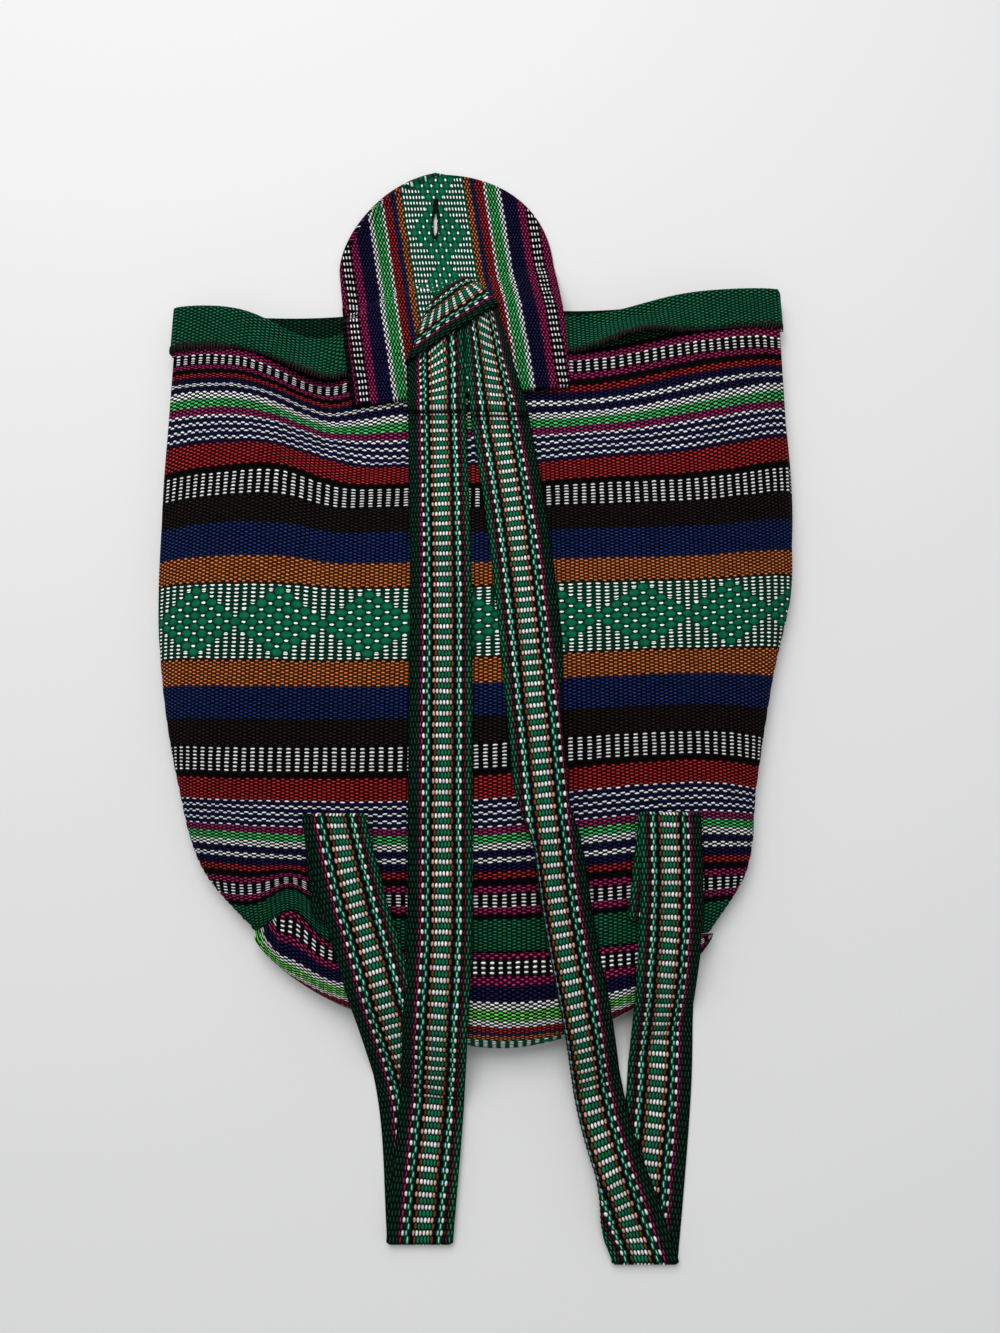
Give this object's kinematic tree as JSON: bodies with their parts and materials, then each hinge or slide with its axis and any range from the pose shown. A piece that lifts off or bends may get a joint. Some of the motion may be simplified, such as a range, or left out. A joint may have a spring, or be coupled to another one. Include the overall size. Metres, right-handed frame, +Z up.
{
  "type": "woven backpack",
  "caption": "Soft backpack of striped woven cotton, pressed flat: an open tube with an oval base, a rounded closing flap with a button slit, and a webbing shoulder strap with folded legs.",
  "frame": {"origin": "on the floor, on the flat underside of the body, under its middle", "axes": "+X across the body, +Y from the base to the mouth, +Z up from the front on the floor to the back with the straps"},
  "size_m": [0.3733, 0.6254, 0.0419],
  "materials": {
    "body_cloth": "matte",
    "base_cloth": "matte",
    "flap_cloth": "matte",
    "strap_webbing": "matte",
    "black_thread": "matte",
    "button_wood": "satin"
  },
  "bodies": {
    "root": {"body": "body_cloth", "base_panel": "base_cloth", "rim_overlock": "black_thread", "flap": "flap_cloth", "slit_stitching": "black_thread", "shoulder_strap": "strap_webbing", "button": "button_wood", "button_thread": "black_thread"}
  },
  "joints": []
}
